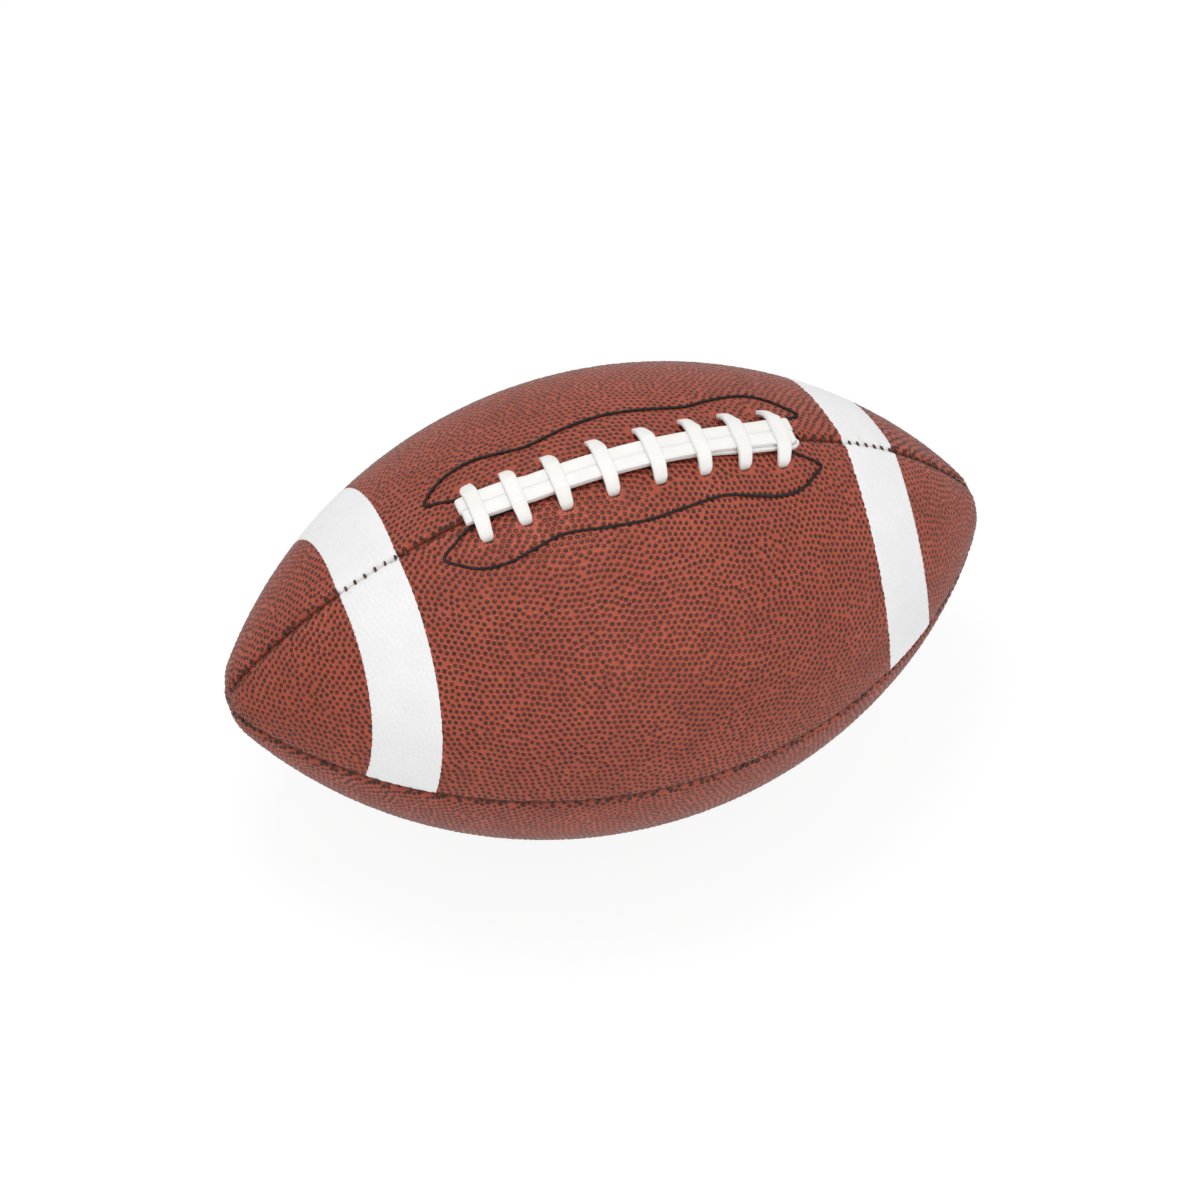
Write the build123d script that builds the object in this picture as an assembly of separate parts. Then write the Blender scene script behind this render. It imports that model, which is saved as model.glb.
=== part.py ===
from build123d import *
import os
from functools import cache
from math import acos, asin, atan2, cos, degrees, sin, sqrt

# American football, official adult size, in millimetres.
# The long axis is X, the laces are on top (+Z), and the front of the ball faces -Y.
# Everything is modelled about the middle of the ball and then stood on Z = 0.

# Whole ball: the outline is a belly arc with a smaller tangent arc at each tip
ball_length = 289.5
ball_diameter = 168.0
tip_radius = 24.0

# Cover panels, sewn edge to edge with the edges turned in
cover_thickness = 1.8
seam_gap = 0.1
turned_edge_thickness = 1.2
turned_edge_margin = 1.4
tip_trim = 9.0
groove_width = 4.0
groove_depth = 1.2
groove_end_radius = 3.0

# Layers below the cover, from the outside in
layer_gap = 0.1
lining_thickness = 1.2
facing_thickness = 1.0
guard_thickness = 1.0
bladder_gap = 0.2
bladder_wall = 0.7

# Seam thread: a lock stitch through each pair of turned-in edges
thread_diameter = 0.8
thread_rise = 0.35
stitch_pitch = 4.2
stitch_hole_clearance = 0.1

# Lace and its slit
lace_width = 5.0
lace_thickness = 1.6
lace_fold_gap = 0.1
lace_pinch = 0.2
lace_bend_radius = 1.2
lace_tail = 12.0
lace_hole_offset = 12.0
lace_hole_clearance = 0.3
lace_shoulder = 1.2
bar_rise = 1.0
inner_bar_spacing = 17.5
middle_bar_spacing = 17.0
outer_bar_spacing = 15.2
strand_left_end = 60.0
strand_right_end = 65.0
slit_length = 132.0

# Black stitch outline round each facing, as seen from above
outline_tip_x = 70.5
outline_tip_y = 11.5
outline_crest_y = 24.0
outline_trough_x = 30.0
outline_trough_y = 20.4
outline_turn_y = 22.2
outline_shoulder_x = 59.0
outline_shoulder_y = 21.4
outline_inner_y = 4.2
outline_inner_x = 52.0
outline_flare_y = 6.4
outline_thread_width = 1.1
outline_thread_rise = 0.35
facing_margin = 3.0
guard_length = 156.0
guard_width = 60.0
guard_corner = 20.0

# White stripe near each end of the lace-side panels
stripe_tip_distance = 39.35
stripe_width = 21.2
stripe_film = 0.2
film_gap = 0.02

# Valve, in the middle of the lower rear panel
valve_angle = 225.0
stem_radius = 4.5
stem_recess = 0.3
stem_clearance = 0.1
valve_flange_radius = 11.0
valve_flange_thickness = 1.2
valve_body_radius = 5.0
valve_body_length = 9.0
core_radius = 2.5
core_fit = 0.05
core_head_radius = 3.4
core_head_thickness = 1.0
core_head_recess = 0.3
core_head_clearance = 0.15
core_length = 12.0
core_lip_thickness = 1.6
core_lip_slit = 0.15
needle_bore_radius = 1.0

# The two-arc outline
ball_radius = ball_diameter / 2
half_length = ball_length / 2
tip_centre = half_length - tip_radius
belly_radius = (tip_centre**2 + ball_radius**2 - tip_radius**2) / (2 * (ball_radius - tip_radius))
belly_centre = ball_radius - belly_radius
tangent_angle = atan2(-belly_centre, tip_centre)
reach = 2 * ball_length

# Depths below the surface, stacked from the outside in
lining_depth = cover_thickness + layer_gap
facing_depth = lining_depth + lining_thickness + layer_gap
lace_run_depth = facing_depth + facing_thickness + layer_gap
guard_depth = lace_run_depth + lace_thickness + layer_gap
bladder_depth = lining_depth + lining_thickness + bladder_gap
pocket_depth = guard_depth + guard_thickness + bladder_gap
stitch_depth = lining_depth + lining_thickness + layer_gap + thread_diameter / 2
turned_edge_depth = stitch_depth + thread_diameter / 2 + turned_edge_margin
half_seam = seam_gap / 2
turned_edge_face = half_seam + turned_edge_thickness
slit_half = slit_length / 2
stripe_middle = half_length - stripe_tip_distance - stripe_width / 2

# Lace heights above the surface
strand_base = outline_thread_rise + film_gap + layer_gap
strand_top = strand_base + 2 * lace_thickness + lace_fold_gap
bar_middle = strand_top - lace_pinch + lace_thickness / 2
strand_edge = half_seam + lace_width
bar_steps = [inner_bar_spacing / 2, middle_bar_spacing, outer_bar_spacing, outer_bar_spacing]
half_bars = [sum(bar_steps[: count + 1]) for count in range(len(bar_steps))]
bar_stations = [-x for x in reversed(half_bars)] + half_bars

seam_angles = {"top": 0, "front": 90, "bottom": 180, "rear": 270}
panel_angles = {"lace_front": 0, "bottom_front": 90, "bottom_rear": 180, "lace_rear": 270}


def outline_edges(depth, end_angle=0.0):
    """Upper outline at a depth below the surface, from tip to tip or between angles on the tip arcs."""
    belly = belly_radius - depth

    def tip_point(side, angle):
        tip = tip_radius - depth
        return (side * (tip_centre + tip * cos(angle)), 0, tip * sin(angle))

    angles = (end_angle, (end_angle + tangent_angle) / 2, tangent_angle)
    left_tip = [tip_point(-1, angle) for angle in angles]
    right_tip = [tip_point(1, angle) for angle in angles]
    crest = (0, 0, belly_centre + belly)
    belly_arc = ThreePointArc(left_tip[-1], crest, right_tip[-1])
    return [ThreePointArc(*left_tip), belly_arc, ThreePointArc(*right_tip)]


def band(outer_depth, inner_depth):
    """Flat band in the XZ plane between two depths, from tip to tip."""
    outer_end = half_length - outer_depth
    inner_end = half_length - inner_depth
    ends = [Line((side * outer_end, 0, 0), (side * inner_end, 0, 0)) for side in (-1, 1)]
    return Face(Wire(outline_edges(outer_depth) + outline_edges(inner_depth) + ends))


@cache
def layer(outer_depth, inner_depth):
    """Whole shell between two depths."""
    return revolve(band(outer_depth, inner_depth), Axis.X)


def filled(depth):
    """Whole ball, filled, inside a depth."""
    end_x = half_length - depth
    half = Face(Wire(outline_edges(depth) + [Line((-end_x, 0, 0), (end_x, 0, 0))]))
    return revolve(half, Axis.X)


def turned(shape, angle):
    """The shape turned about the long axis, from the top seam to another seam."""
    return Rot(angle, 0, 0) * shape


def quarter(angle, inset):
    """Space of one panel: from the seam at angle to the next, inset from both seam planes."""
    centre = inset + reach / 2
    return turned(Pos(0, -centre, centre) * Box(2 * reach, reach, reach), angle)


def plan_prism(sketch):
    """A plan-view sketch pulled up through the top of the ball."""
    return extrude(sketch, reach, dir=(0, 0, 1))


def surface_height(x):
    """Height of the belly arc above the long axis."""
    return belly_centre + sqrt(belly_radius**2 - x**2)


def stitch_angles(with_slit):
    """Places of the stitches along the belly arc, as angles from the crest."""
    radius = belly_radius - stitch_depth
    step = stitch_pitch / radius
    height = tip_trim + turned_edge_depth + thread_diameter
    limit = acos((height - belly_centre) / belly_radius)
    count = int(limit / step)
    angles = [step * (index + 0.5) for index in range(count)]
    if with_slit:
        clear = slit_half + thread_diameter
        angles = [angle for angle in angles if radius * sin(angle) > clear]
    return [-angle for angle in angles] + angles


def stitch_point(angle):
    radius = belly_radius - stitch_depth
    return (radius * sin(angle), 0, belly_centre + radius * cos(angle))


def cross_pin(angle, radius, half_width):
    """Round bar through the top seam plane at one stitch."""
    pin = Cylinder(radius, 2 * half_width, rotation=(90, 0, 0))
    return Pos(*stitch_point(angle)) * pin


def seam_zone(with_slit, inset=0.0):
    """Part of the top seam plane that has turned-in edges."""
    height = tip_trim - inset
    zone = Pos(0, 0, height + reach / 2) * Box(2 * reach, reach, reach)
    if with_slit:
        zone -= Box(2 * (slit_half - inset), 2 * reach, 2 * reach)
    return zone


@cache
def turned_edge(side, with_slit):
    """Turned-in edge on one side of the top seam, with its stitch holes."""
    plate = extrude(band(cover_thickness / 2, turned_edge_depth), turned_edge_thickness, dir=(0, side, 0))
    plate = (Pos(0, side * half_seam, 0) * plate) & seam_zone(with_slit)
    hole = thread_diameter / 2 + stitch_hole_clearance
    return plate - [cross_pin(angle, hole, 2 * turned_edge_face) for angle in stitch_angles(with_slit)]


def seam_thread(with_slit):
    """Lock stitch of the top seam: a length of thread on each face, joined through the holes."""
    half = thread_diameter / 2
    rail = extrude(band(stitch_depth - half, stitch_depth + half), thread_rise, dir=(0, 1, 0))
    angles = stitch_angles(with_slit)
    end_x = stitch_point(max(angles))[0] + thread_diameter
    zone = seam_zone(with_slit) & Box(2 * end_x, reach, 2 * reach)
    rails = [(Pos(0, y, 0) * rail) & zone for y in (turned_edge_face, -turned_edge_face - thread_rise)]
    pins = [cross_pin(angle, half, turned_edge_face + thread_rise) for angle in angles]
    return Part() + rails + pins


def seam_groove():
    """Valley along the top seam, from near one tip to the other."""
    path = Wire(outline_edges(0, asin(groove_end_radius / tip_radius)))
    plane = Plane(path @ 0, x_dir=(0, 1, 0), z_dir=path % 0)
    corners = [(-groove_width, groove_depth), (groove_width, groove_depth), (0, -groove_depth)]
    return sweep(plane * Polygon(*corners, align=None), path)


def bar_plane(x):
    """Plane square to the outline at one lace bar: local X to the front, local Y out of the ball."""
    slope = asin(x / belly_radius)
    along = (cos(slope), 0, -sin(slope))
    origin = (x, 0, surface_height(x))
    return Plane(origin, x_dir=(0, -1, 0), z_dir=[-part for part in along])


def bar_point(x, across, height):
    """Local point of a lace bar, from the distance round the ball and the height above it."""
    radius = surface_height(x) / cos(asin(x / belly_radius))
    angle = across / radius
    return ((radius + height) * sin(angle), (radius + height) * cos(angle) - radius)


def bar_points(x):
    leg_end = -(lace_run_depth + lace_thickness / 2)
    shoulder = strand_edge + lace_shoulder
    half = [(shoulder, bar_middle), (lace_hole_offset, bar_rise), (lace_hole_offset, leg_end)]
    front = [bar_point(x, across, height) for across, height in half]
    return [(-across, height) for across, height in reversed(front)] + front


def lace_bar(x):
    """Cross bar over the strands, with a leg down through each hole."""
    path = FilletPolyline(*bar_points(x), radius=lace_bend_radius)
    strip = trace(path, lace_thickness)
    return extrude(bar_plane(x) * strip, lace_width / 2, both=True)


def lace_hole(x, side):
    """Slot for one leg of the lace, square to the surface."""
    foot = bar_point(x, side * lace_hole_offset, 0)
    above = bar_point(x, side * lace_hole_offset, 1)
    plane = bar_plane(x)
    origin = plane.from_local_coords(foot)
    axis = plane.from_local_coords(above) - origin
    slot = Rectangle(lace_width + 2 * lace_hole_clearance, lace_thickness + 2 * lace_hole_clearance)
    slot_plane = Plane(origin, x_dir=plane.z_dir, z_dir=axis)
    return extrude(slot_plane * slot, lace_run_depth + lace_thickness, both=True)


@cache
def lace_holes(side):
    return [lace_hole(x, side) for x in bar_stations]


def leg_foot(x, side):
    """Inner end of a lace leg, seen from above."""
    across, height = bar_points(x)[-1]
    foot = bar_plane(x).from_local_coords((side * across, height))
    return Vector(foot.X, foot.Y)


def inner_run(start, end):
    """Flat length of lace between two feet, seen from above."""
    middle = (start + end) / 2
    way = end - start
    strip = Rectangle(way.length + lace_width, lace_width)
    return Pos(middle.X, middle.Y) * Rot(0, 0, degrees(atan2(way.Y, way.X))) * strip


def lace_strand(side):
    """One doubled length of lace along the slit, folded at both ends."""
    def on_arc(x, height):
        angle = asin(x / belly_radius)
        return ((belly_radius + height) * sin(angle), 0, belly_centre + (belly_radius + height) * cos(angle))

    def strip(low, high, left, right):
        round_end = (high - low) / 2
        middle = (low + high) / 2
        return Face(Wire([
            ThreePointArc(on_arc(left, low), on_arc(0, low), on_arc(right, low)),
            ThreePointArc(on_arc(right, low), on_arc(right + round_end, middle), on_arc(right, high)),
            ThreePointArc(on_arc(right, high), on_arc(0, high), on_arc(left, high)),
            ThreePointArc(on_arc(left, high), on_arc(left - round_end, middle), on_arc(left, low)),
        ]))

    fold = (strand_top - strand_base) / 2
    left = fold - strand_left_end
    right = strand_right_end - fold
    outer = strip(strand_base, strand_top, left, right)
    inner = strip(strand_base + lace_thickness, strand_top - lace_thickness, left, right)
    strand = extrude(outer, lace_width, dir=(0, side, 0)) - extrude(inner, lace_width, dir=(0, side, 0))
    return Pos(0, side * half_seam, 0) * strand


def make_lace():
    """The whole lace: strands, bars, the runs between bars inside, and the two tails."""
    feet = [(leg_foot(x, 1), leg_foot(x, -1)) for x in bar_stations]
    runs = [inner_run(feet[index][0], feet[index + 1][1]) for index in range(len(feet) - 1)]
    runs.append(inner_run(feet[0][1], feet[0][1] - Vector(lace_tail, 0)))
    runs.append(inner_run(feet[-1][0], feet[-1][0] + Vector(lace_tail, 0)))
    slab = layer(lace_run_depth, lace_run_depth + lace_thickness)
    inside = [slab & plan_prism(run) for run in runs]
    bars = [lace_bar(x) for x in bar_stations]
    strands = [lace_strand(-1), lace_strand(1)]
    return Part() + strands + bars + inside


def facing_outline(side):
    """Stitch outline of one facing, seen from above."""
    turn_x = outline_trough_x / 2
    last_turn_x = outline_trough_x + turn_x
    edges = []
    for end in (-1, 1):
        tip = (end * outline_tip_x, side * outline_tip_y)
        turn = (end * turn_x, side * outline_turn_y)
        last_turn = (end * last_turn_x, side * outline_turn_y)
        inner = (end * outline_inner_x, side * outline_inner_y)
        flare = (end * (outline_tip_x + outline_inner_x) / 2, side * outline_flare_y)
        edges.append(ThreePointArc(turn, (end * outline_trough_x, side * outline_trough_y), last_turn))
        edges.append(ThreePointArc(last_turn, (end * outline_shoulder_x, side * outline_shoulder_y), tip))
        edges.append(ThreePointArc(tip, flare, inner))
    crest = (0, side * outline_crest_y)
    edges.append(ThreePointArc((-turn_x, side * outline_turn_y), crest, (turn_x, side * outline_turn_y)))
    edges.append(Line((-outline_inner_x, side * outline_inner_y), (outline_inner_x, side * outline_inner_y)))
    return Sketch() + Face(Wire(edges))


def outline_thread(side):
    """Black thread on the surface along a facing outline."""
    half = outline_thread_width / 2
    shape = facing_outline(side)
    ring = offset(shape, half) - offset(shape, -half)
    return layer(-film_gap - outline_thread_rise, -film_gap) & plan_prism(ring)


def guard_plan(margin=0.0):
    return RectangleRounded(guard_length + 2 * margin, guard_width + 2 * margin, guard_corner + margin)


def edge_slot(with_slit, extra):
    """Room round a pair of turned-in edges and their thread."""
    half_width = turned_edge_face + thread_rise + extra
    plate = extrude(band(0, turned_edge_depth + extra), half_width, dir=(0, 1, 0), both=True)
    return plate & seam_zone(with_slit, extra)


def bladder_form(extra):
    """Filled bladder shape, shrunk by an extra depth all over."""
    pocket = layer(0, pocket_depth + extra) & plan_prism(guard_plan(bladder_gap + extra))
    slots = [turned(edge_slot(angle == 0, bladder_gap + extra), angle) for angle in seam_angles.values()]
    return filled(bladder_depth + extra) - pocket - slots


def valve_cylinder(radius, top_depth, bottom_depth):
    """Round bar on the valve axis between two depths below the surface."""
    bar = Cylinder(radius, bottom_depth - top_depth, align=(Align.CENTER, Align.CENTER, Align.MIN))
    return turned(Pos(0, 0, ball_radius - bottom_depth) * bar, valve_angle)


def make_valve_housing():
    flange_top = bladder_depth + bladder_wall + layer_gap
    flange_bottom = flange_top + valve_flange_thickness
    body_bottom = flange_bottom + valve_body_length
    seat_bottom = stem_recess + core_head_recess + core_head_thickness + core_fit
    flange = layer(flange_top, flange_bottom) & valve_cylinder(valve_flange_radius, 0, body_bottom)
    stem = valve_cylinder(stem_radius, stem_recess, flange_bottom)
    body = valve_cylinder(valve_body_radius, flange_top + valve_flange_thickness / 2, body_bottom)
    bore = valve_cylinder(core_radius + core_fit, 0, 2 * body_bottom)
    seat = valve_cylinder(core_head_radius + core_head_clearance, 0, seat_bottom)
    return flange + stem + body - bore - seat


def make_valve_core():
    """Push-in plug: a head, a shank with the needle bore, and slit lips that close behind the needle."""
    top = stem_recess + core_head_recess
    bottom = top + core_length
    head = valve_cylinder(core_head_radius, top, top + core_head_thickness)
    shank = valve_cylinder(core_radius, top, bottom)
    needle = valve_cylinder(needle_bore_radius, top, bottom - core_lip_thickness)
    slit = Box(2 * needle_bore_radius, core_lip_slit, core_lip_thickness)
    slit_height = ball_radius - bottom + core_lip_thickness / 2
    return head + shank - needle - turned(Pos(0, 0, slit_height) * slit, valve_angle)


@cache
def cover_quarter():
    """Outer skin of the panel between the top and the front seam, with its side of both grooves."""
    groove = seam_groove()
    return layer(0, cover_thickness) & quarter(0, half_seam) - [groove, turned(groove, 90)]


def make_panel(name):
    angle = panel_angles[name]
    next_angle = angle + 90
    first_edge = turned(turned_edge(-1, angle == 0), angle)
    second_edge = turned(turned_edge(1, next_angle == 360), next_angle)
    return turned(cover_quarter(), angle) + [first_edge, second_edge]


def pierced(name, shape):
    """The panel or lining with its lace holes or its valve hole."""
    if name == "lace_front":
        return shape - lace_holes(1)
    if name == "lace_rear":
        return shape - lace_holes(-1)
    if name == "bottom_rear":
        return shape - valve_cylinder(stem_radius + stem_clearance, 0, pocket_depth)
    return shape


def make_stripe(name, end):
    film = layer(-film_gap - stripe_film, -film_gap)
    slice_box = Pos(end * stripe_middle, 0, 0) * Box(stripe_width, reach, reach)
    return film & slice_box & quarter(panel_angles[name], groove_width / 2)


def make_parts():
    parts = {}
    lining = layer(lining_depth, lining_depth + lining_thickness)
    for name, angle in panel_angles.items():
        parts["panel_" + name] = pierced(name, make_panel(name))
        parts["lining_" + name] = pierced(name, lining & quarter(angle, turned_edge_face + layer_gap))
    for name in ("lace_front", "lace_rear"):
        parts["stripe_" + name + "_left"] = make_stripe(name, -1)
        parts["stripe_" + name + "_right"] = make_stripe(name, 1)

    top_thread = seam_thread(True)
    parts["seam_thread_lace_left"] = top_thread & (Pos(-reach / 2, 0, 0) * Box(reach, reach, reach))
    parts["seam_thread_lace_right"] = top_thread & (Pos(reach / 2, 0, 0) * Box(reach, reach, reach))
    whole_thread = seam_thread(False)
    for name in ("front", "bottom", "rear"):
        parts["seam_thread_" + name] = turned(whole_thread, seam_angles[name])

    for name, side in (("front", -1), ("rear", 1)):
        patch = offset(facing_outline(side), facing_margin)
        facing = layer(facing_depth, facing_depth + facing_thickness) & plan_prism(patch)
        parts["lace_facing_" + name] = facing - lace_holes(-side)
        parts["facing_thread_" + name] = outline_thread(side)

    parts["lace"] = make_lace()
    parts["lace_guard"] = layer(guard_depth, guard_depth + guard_thickness) & plan_prism(guard_plan())
    bladder = bladder_form(0) - bladder_form(bladder_wall)
    parts["bladder"] = bladder - valve_cylinder(stem_radius + stem_clearance, 0, pocket_depth)
    parts["valve_housing"] = make_valve_housing()
    parts["valve_core"] = make_valve_core()
    return parts


os.makedirs("parts", exist_ok=True)
for node, shape in make_parts().items():
    export_step(Pos(0, 0, ball_radius) * shape, "parts/" + node + ".step")
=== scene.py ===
import math
import bmesh
import bpy
import numpy as np
from mathutils import Matrix, Vector
from mathutils.geometry import delaunay_2d_cdt
from mathutils.kdtree import KDTree


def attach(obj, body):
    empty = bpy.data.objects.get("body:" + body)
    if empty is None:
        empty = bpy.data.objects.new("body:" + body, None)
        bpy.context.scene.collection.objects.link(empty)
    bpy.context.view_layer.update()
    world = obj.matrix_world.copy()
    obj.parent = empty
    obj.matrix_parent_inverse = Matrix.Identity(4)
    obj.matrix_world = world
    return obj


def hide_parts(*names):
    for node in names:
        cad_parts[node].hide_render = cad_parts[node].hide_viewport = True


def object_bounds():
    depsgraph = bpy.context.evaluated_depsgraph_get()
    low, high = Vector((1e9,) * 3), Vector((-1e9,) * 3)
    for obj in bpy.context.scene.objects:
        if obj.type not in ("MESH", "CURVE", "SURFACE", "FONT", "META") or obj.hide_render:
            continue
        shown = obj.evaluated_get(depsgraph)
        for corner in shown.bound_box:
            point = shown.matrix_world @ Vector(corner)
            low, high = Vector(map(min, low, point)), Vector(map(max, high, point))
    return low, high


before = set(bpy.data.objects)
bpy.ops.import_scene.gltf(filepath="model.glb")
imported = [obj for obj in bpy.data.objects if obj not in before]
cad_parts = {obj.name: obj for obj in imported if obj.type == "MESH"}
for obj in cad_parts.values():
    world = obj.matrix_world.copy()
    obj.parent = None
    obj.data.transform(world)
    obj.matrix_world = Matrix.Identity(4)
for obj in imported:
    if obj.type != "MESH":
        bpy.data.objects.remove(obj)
cad_low, cad_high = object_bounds()

# Sizes are in metres. A value that is easier to read in millimetres is written times mm, and lists
# of given points are in millimetres.
mm = 0.001

# Ball outline: a belly arc with a tangent tip arc at each end
ball_radius = 84.0 * mm
tip_radius = 24.0 * mm
half_length = cad_high.x
tip_centre = half_length - tip_radius
belly_radius = (tip_centre**2 + ball_radius**2 - tip_radius**2) / (2 * (ball_radius - tip_radius))
belly_centre = ball_radius - belly_radius
belly_turn = math.atan2(tip_centre, -belly_centre)
belly_arc = belly_radius * belly_turn
half_arc = belly_arc + tip_radius * (math.pi / 2 - belly_turn)

# Panels, by the angle of their middle from the laces towards the front, in degrees, and the side of the slit
# that the two with laces lie on
panel_angles = {"lace_front": 45, "bottom_front": 135, "bottom_rear": 225, "lace_rear": 315}
panel_sides = {"lace_front": 1, "lace_rear": -1}
valve_panel = "bottom_rear"
half_panel = math.pi / 4
cover_thickness = 1.8 * mm
first_panel_seed = 11

# Seams, by their angle in the same way: the panels' edges turn in, and pucker at each stitch, where painted
# shade darkens the leather
seam_angles = {"top": 0, "front": 90, "bottom": 180, "rear": 270}
seam_gap = 0.1 * mm
tip_hole = 0.05 * mm
groove_width = 3.0 * mm
groove_depth = 1.0 * mm
pucker_depth = 0.22 * mm
pucker_reach = 2.2 * mm
pucker_shade = 0.8
pucker_shade_reach = 1.2 * mm

# Pebbles: each is a dome on its cell, lower beside a seam or a hole, with a dark dot on its top. Its two
# rings have a share of the way to the cell's corners, the most that this may be, and a share of the height.
pebble_pitch = 2.4 * mm
pebble_height = 0.5 * mm
pebble_heights = (0.85, 1.1)
pebble_sizes = (0.9, 1.07)
pebble_rings = [(0.7, 0.88 * mm, 0.72), (0.45, 0.56 * mm, 0.95)]
seam_climb = 0.45
seam_climb_span = (0.4 * mm, 2.4 * mm)
rim_climb = 0.4
dot_radius = 0.79 * mm
seam_dot_growth = 0.3
seam_dot_span = (1.3 * mm, 2.7 * mm)
no_dot = 5.0

# Rows of pebbles: a turned hexagonal lattice, bent by waves (lengths in millimetres), jittered and settled
row_turn = math.radians(14)
row_waves = 9
wave_lengths = (22, 80)
row_waviness = 0.011
pebble_jitter = 0.42 * mm
settling_steps = 3
settling_share = 0.28
settling_neighbours = 6
lattice_margin = 10 * mm
spare_rows = 20
pebble_tip_margin = 2 * mm
pebble_seam_margin = 0.8 * mm
pebble_hole_margin = 1.5 * mm
mirror_reach = 3.2 * pebble_pitch

# Holes: slots for the lace, a little beyond its bars' ends, in millimetres, and a round hole for the valve
hole_length = 3.8 * mm
hole_width = 2.2 * mm
hole_beyond_bar = 0.7
valve_hole_radius = 4.6 * mm
rim_ring_offsets = (0.5 * mm, -0.5 * mm)
rim_ring_step = 1.1 * mm
least_ring_points = 8

# Inner face of a panel: points of its grid along and across, and the share of the panel that they span
inner_counts = (42, 13)
inner_spans = (0.93, 0.85)
inner_hole_margin = 1 * mm
open_hole_depth = 0.02 * mm

# Flat geometry: points of a curve between two placed ones, and small numbers, the first two in millimetres
curve_points = 40
merge_distance = 1e-6
least_area = 1e-9
least_length = 1e-9

# Texture map of a panel: its flat pattern, with the inner face beside it at a smaller scale
map_length = 2.1 * half_arc
outer_map_middle = (0.5, 0.27)
inner_map_middle = (0.5, 0.75)
inner_map_scale = 0.45

# Stripes: for each, how far its edges lie from their place towards the tip, in millimetres, as a level, a bow
# and a lean across the panel. The ripples of an edge have a height in millimetres and a rate.
stripe_near = 84.2 * mm
stripe_far = 105.4 * mm
stripe_edges = {
    ("lace_front", "left"): (-0.7, 2.3, 2.2),
    ("lace_front", "right"): (-1.5, 3.1, 0.3),
    ("lace_rear", "left"): (-0.7, 2.2, -2.0),
    ("lace_rear", "right"): (-1.4, 3.0, -0.3),
}
stripe_margin = 5 * mm
stripe_lift = 0.05 * mm
stripe_depth = 0.3 * mm
stripe_fill = 0.82
stripe_relief = 0.28
stripe_ripples = [(0.07, 97), (0.05, 181)]

# Seam stitches: half of one, as distance across the seam and height, in millimetres, and how they vary
stitch_pitch = 4.2 * mm
stitch_radius = 0.47 * mm
half_stitch = [(0.2, -0.84), (0.5, -0.9), (0.8, -1.08), (1.0, -1.35), (1.15, -1.7)]
stitch_slant = 0.08
slant_spread = 0.08
stitch_sizes = (0.92, 1.08)
stitch_place_spread = 0.12 * mm
stitch_depth_spread = 0.05 * mm
slit_half_length = 66 * mm
bare_tip_length = 9 * mm
thread_sides = 8
first_seam_seed = 31

# Stitch outlines beside the slit: distance along the ball and across from the slit, in millimetres
outline_points = {
    "front": [
        (-70, 10.3), (-66, 15.2), (-60, 19.7), (-53, 21.7), (-47, 21.9), (-38, 20.6), (-29, 19.9),
        (-15, 22.6), (0, 24.2), (15, 22.8), (29, 21.1), (40, 22.6), (49, 23.6), (56, 22.7), (62, 20.0),
        (67, 15.8), (71, 11.9), (66, 8.4), (59, 5.8), (45, 4.4), (0, 3.8), (-45, 3.8), (-59, 4.2),
        (-65, 7.0),
    ],
    "rear": [
        (-69, -13.6), (-65, -18.4), (-59, -22.0), (-52, -23.7), (-46, -23.6), (-38, -21.7), (-29, -20.2),
        (-15, -22.7), (0, -24.0), (15, -22.2), (29, -19.9), (40, -21.8), (50, -23.2), (57, -22.6),
        (63, -19.8), (68, -15.6), (71.5, -11.6), (66, -9.6), (59, -7.6), (45, -5.8), (0, -4.4),
        (-45, -5.4), (-59, -9.4), (-64, -11.4),
    ],
}
outline_step = 0.35 * mm
outline_stitch = 3.4 * mm
outline_radius = 0.57 * mm
outline_end_size = 0.78
outline_end_height = -0.45 * mm
outline_bulge = 0.22 * mm
outline_bed_span = (0.5 * mm, 1.7 * mm)
outline_bed_depth = 0.2 * mm
outline_bed_flattening = 0.75

# Lace: its section is a squarish oval, with points at these turns
lace_width = 5.5 * mm
lace_thickness = 1.7 * mm
lace_squareness = 7.0
lace_sides = 28
lace_turn = (np.arange(lace_sides) + 0.5) * 2 * math.pi / lace_sides

# Edges of the lace's two strands and the line where they meet: distance along the ball and across from the
# slit, in millimetres
band_edges = {
    "rear": [
        (-62, -6.5), (-51, -6.3), (-43, -5.7), (-35, -4.2), (-20, -4.1), (38, -4.1), (50, -4.7), (58, -5.7),
        (68, -6.2),
    ],
    "meeting": [
        (-62, -1.2), (-51, -1.1), (-43, -0.4), (-35, 0.6), (-20, 0.7), (38, 0.7), (50, 0.2), (60, -0.7),
        (68, -0.9),
    ],
    "front": [(-62, 4.0), (-51, 4.2), (-42, 5.0), (-35, 5.5), (0, 5.6), (45, 5.5), (58, 5.0), (68, 4.5)],
}
strand_ends = {"front": (-58.4, 62.2), "rear": (-59.2, 62.8)}
strand_high = 3.0 * mm
strand_low = 1.25 * mm
strand_overlap = 0.25 * mm
strand_steps = 150
fold_steps = 10

# Sideways shift of the front strand's lower layer, which changes along the ball
lower_shift = -0.6 * mm
lower_shift_change = 1.7 * mm
lower_shift_span = (15 * mm, 50 * mm)

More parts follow.
